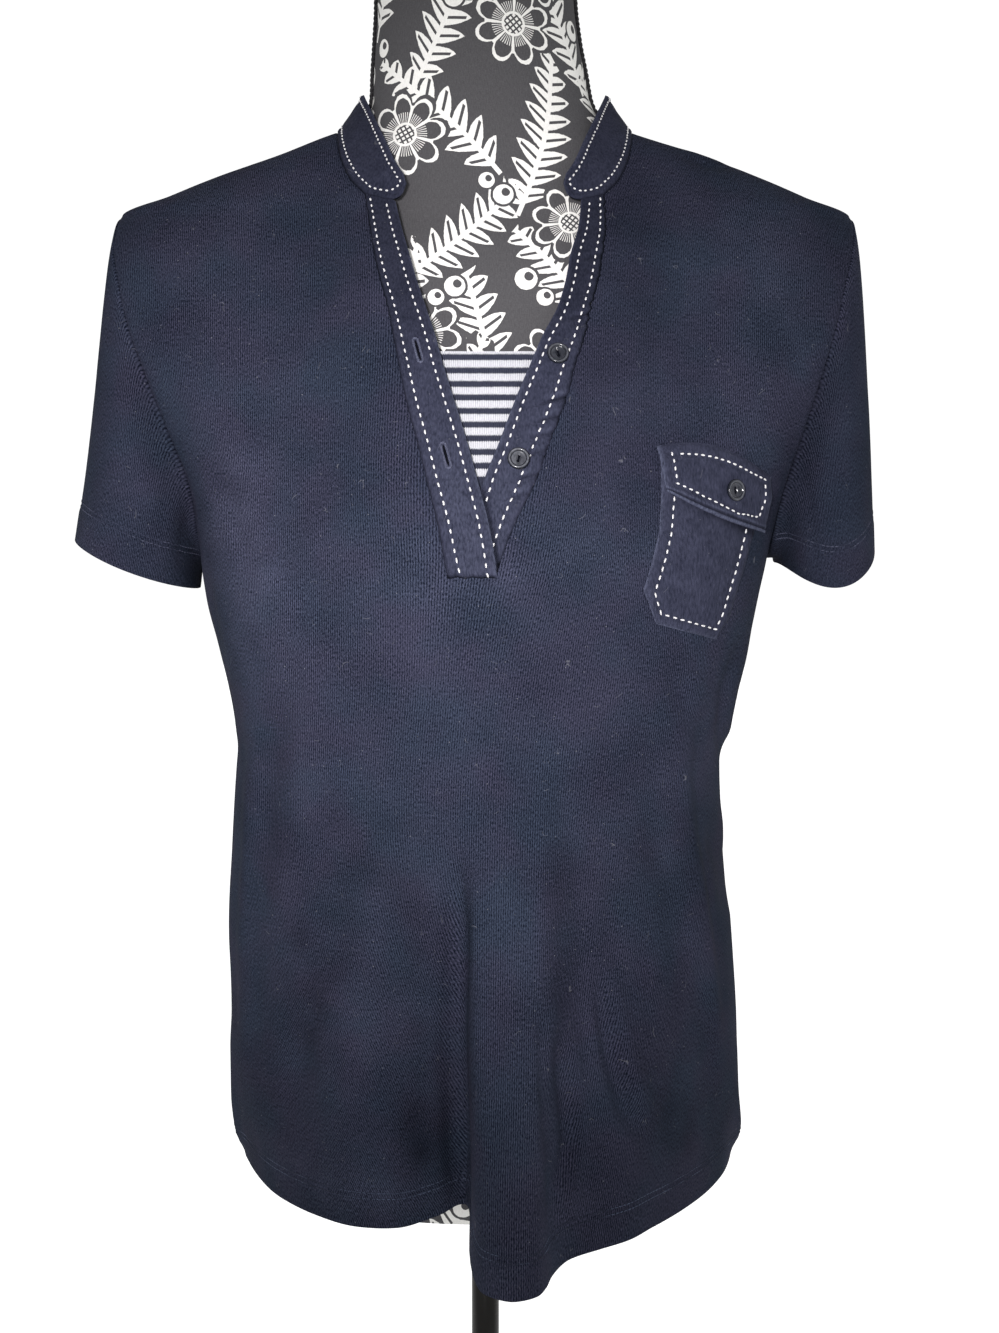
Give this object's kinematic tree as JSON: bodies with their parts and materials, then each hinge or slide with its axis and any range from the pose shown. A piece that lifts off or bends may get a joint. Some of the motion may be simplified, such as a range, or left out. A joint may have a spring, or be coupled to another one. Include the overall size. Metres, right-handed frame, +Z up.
{
  "type": "henley shirt on a dress form",
  "caption": "Short-sleeved knit henley with a band collar, open placket, striped inset and flapped chest pocket, shown on a limbless dress form with a pole stand.",
  "frame": {"origin": "centre of the underside of the stand's round foot, on the floor", "axes": "+Z up along the pole, the chest faces -Y, the wearer's left side is at +X"},
  "size_m": [0.4545, 0.364, 1.3123],
  "materials": {
    "navy_knit": "fine ribbed knit, matt",
    "navy_woven": "plain woven cotton, matt, washed",
    "striped_knit": "white and navy striped knit",
    "dark_button": "glossy navy-black resin",
    "form_cover": "charcoal woven cover with a pale leaf print",
    "black_metal": "gloss black paint"
  },
  "bodies": {
    "root": {"front_panel": "navy_knit", "back_panel": "navy_knit", "sleeve_right": "navy_knit", "sleeve_left": "navy_knit", "neckband": "navy_woven", "placket_right": "navy_woven", "placket_left": "navy_woven", "striped_inset": "striped_knit", "pocket": "navy_woven", "pocket_flap": "navy_woven", "button_upper": "dark_button", "button_lower": "dark_button", "button_pocket": "dark_button", "dress_form": "form_cover", "neck_cap": "black_metal", "pole": "black_metal", "pole_socket": "black_metal", "stand_foot": "black_metal"}
  },
  "joints": []
}
